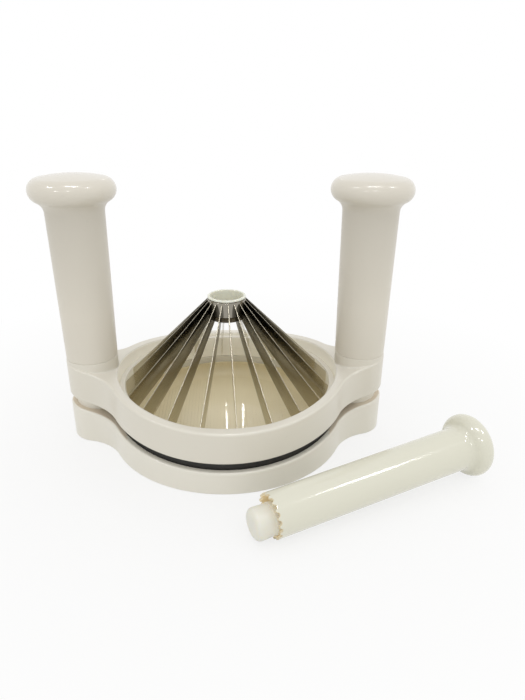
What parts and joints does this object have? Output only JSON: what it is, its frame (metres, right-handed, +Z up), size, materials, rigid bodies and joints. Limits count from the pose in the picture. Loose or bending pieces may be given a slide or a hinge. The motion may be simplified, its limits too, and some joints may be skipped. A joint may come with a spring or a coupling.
{
  "type": "onion cutter",
  "caption": "Push-down onion cutter: a cone of slanted blades in a ring with tall knobbed handles slides on posts over a base bowl, with a toothed spring-plunger corer beside it.",
  "frame": {"origin": "centre of the base's underside, where the cutter stands on the table", "axes": "+X towards the right handle, +Y away from the user, +Z up along the guide posts"},
  "size_m": [0.261, 0.1973, 0.1653],
  "materials": {
    "shell_plastic": "satin",
    "seat_plastic": "satin",
    "ivory_plastic": "gloss",
    "white_plastic": "gloss",
    "black_rubber": "matt",
    "blade_steel": "bright ground",
    "screw_steel": "plated",
    "spring_steel": "drawn wire",
    "post_steel": "polished",
    "bush_plastic": "self-lubricating"
  },
  "bodies": {
    "base": {"base_ring": "shell_plastic", "onion_seat": "seat_plastic", "seat_screws": "screw_steel", "bumper_ring": "black_rubber", "guide_post_left": "post_steel", "guide_post_right": "post_steel", "post_screws": "screw_steel", "stop_washers": "screw_steel", "stop_screws": "screw_steel"},
    "head": {"cutter_frame": "shell_plastic", "guide_bush_left": "bush_plastic", "guide_bush_right": "bush_plastic", "handle_left": "shell_plastic", "handle_right": "shell_plastic", "handle_screws": "screw_steel", "blade_ring": "shell_plastic", "ring_screws": "screw_steel", "hub_sleeve": "blade_steel", "collar_liner": "white_plastic", "blade_01": "blade_steel", "blade_02": "blade_steel", "blade_03": "blade_steel", "blade_04": "blade_steel", "blade_05": "blade_steel", "blade_06": "blade_steel", "blade_07": "blade_steel", "blade_08": "blade_steel", "blade_09": "blade_steel", "blade_10": "blade_steel", "blade_11": "blade_steel", "blade_12": "blade_steel", "blade_13": "blade_steel", "blade_14": "blade_steel", "blade_15": "blade_steel", "blade_16": "blade_steel", "blade_17": "blade_steel", "blade_18": "blade_steel", "blade_19": "blade_steel", "blade_20": "blade_steel"},
    "corer": {"corer_tube": "ivory_plastic", "corer_knob": "ivory_plastic", "guide_web": "ivory_plastic", "plunger_spring": "spring_steel"},
    "plunger": {"plunger": "white_plastic", "plunger_washer": "screw_steel", "plunger_screw": "screw_steel"}
  },
  "joints": [
    {"name": "head_lift", "type": "slide", "parent": "base", "child": "head", "axis": [0, 0, 1], "range_m": [0, 0.074]},
    {"name": "corer_lift", "type": "slide", "parent": "base", "child": "corer", "axis": [0, 0, 1], "range_m": [0, 0.15]},
    {"name": "plunger_slide", "type": "slide", "parent": "corer", "child": "plunger", "axis": [0.9241, 0.379, 0.05], "range_m": [0, 0.035], "stiffness_N_per_m": 100, "springref_m": -0.01, "deforming": ["plunger_spring"]}
  ]
}
